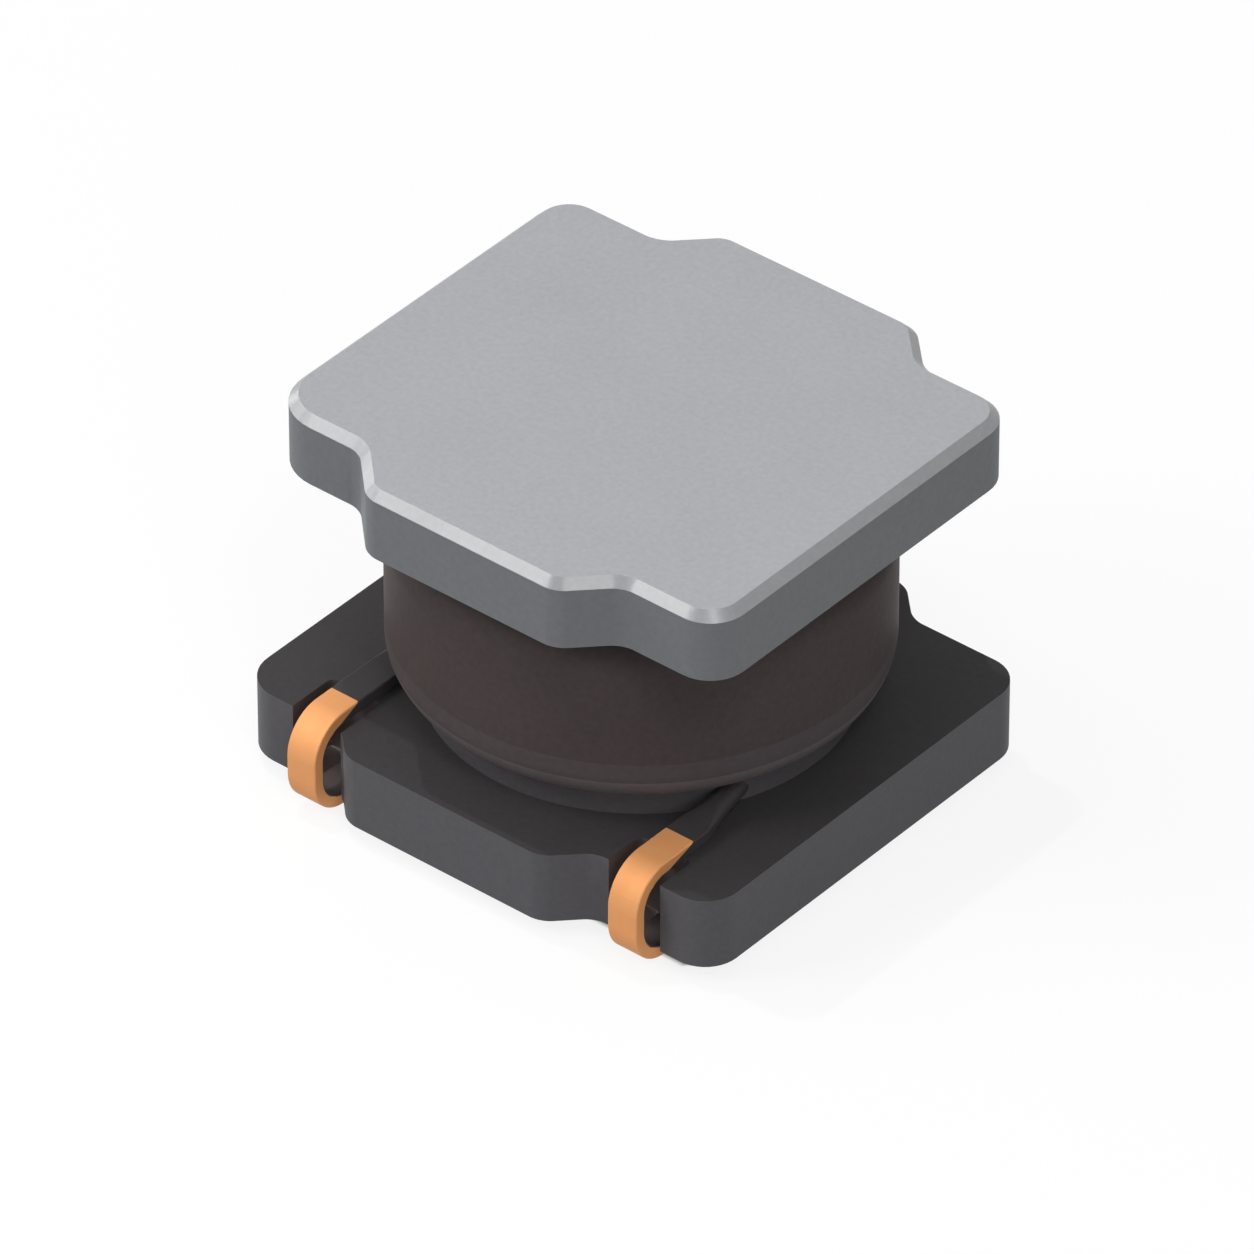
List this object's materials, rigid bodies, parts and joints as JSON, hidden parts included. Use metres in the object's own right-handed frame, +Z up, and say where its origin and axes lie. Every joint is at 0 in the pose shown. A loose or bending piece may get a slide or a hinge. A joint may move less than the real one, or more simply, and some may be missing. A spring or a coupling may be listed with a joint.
{
  "type": "shielded smd power inductor",
  "caption": "Drum-core power inductor for surface mounting, its winding coated in magnetic resin between two flanges, with copper wire ends hooked round the lower flange.",
  "frame": {"origin": "below the middle of the base flange, on the plane of the circuit board", "axes": "+Z up from the board, +Y away from the side where the wire ends come out, +X from the left wire end to the right one"},
  "size_m": [0.006, 0.0059, 0.0044],
  "materials": {
    "ferrite": "matte sintered ferrite, pale grey on top and darker on the base flange",
    "copper_wire": "bare copper where rolled flat, brown enamel on the round wire",
    "magnetic_resin": "dark brown satin resin filled with magnetic powder",
    "plating": "thin tin plating",
    "solder": "smooth tin solder"
  },
  "bodies": {
    "root": {"drum_core": "ferrite", "winding": "copper_wire", "resin_shield": "magnetic_resin", "left_terminal": "plating", "right_terminal": "plating", "left_solder": "solder", "right_solder": "solder"}
  },
  "joints": []
}
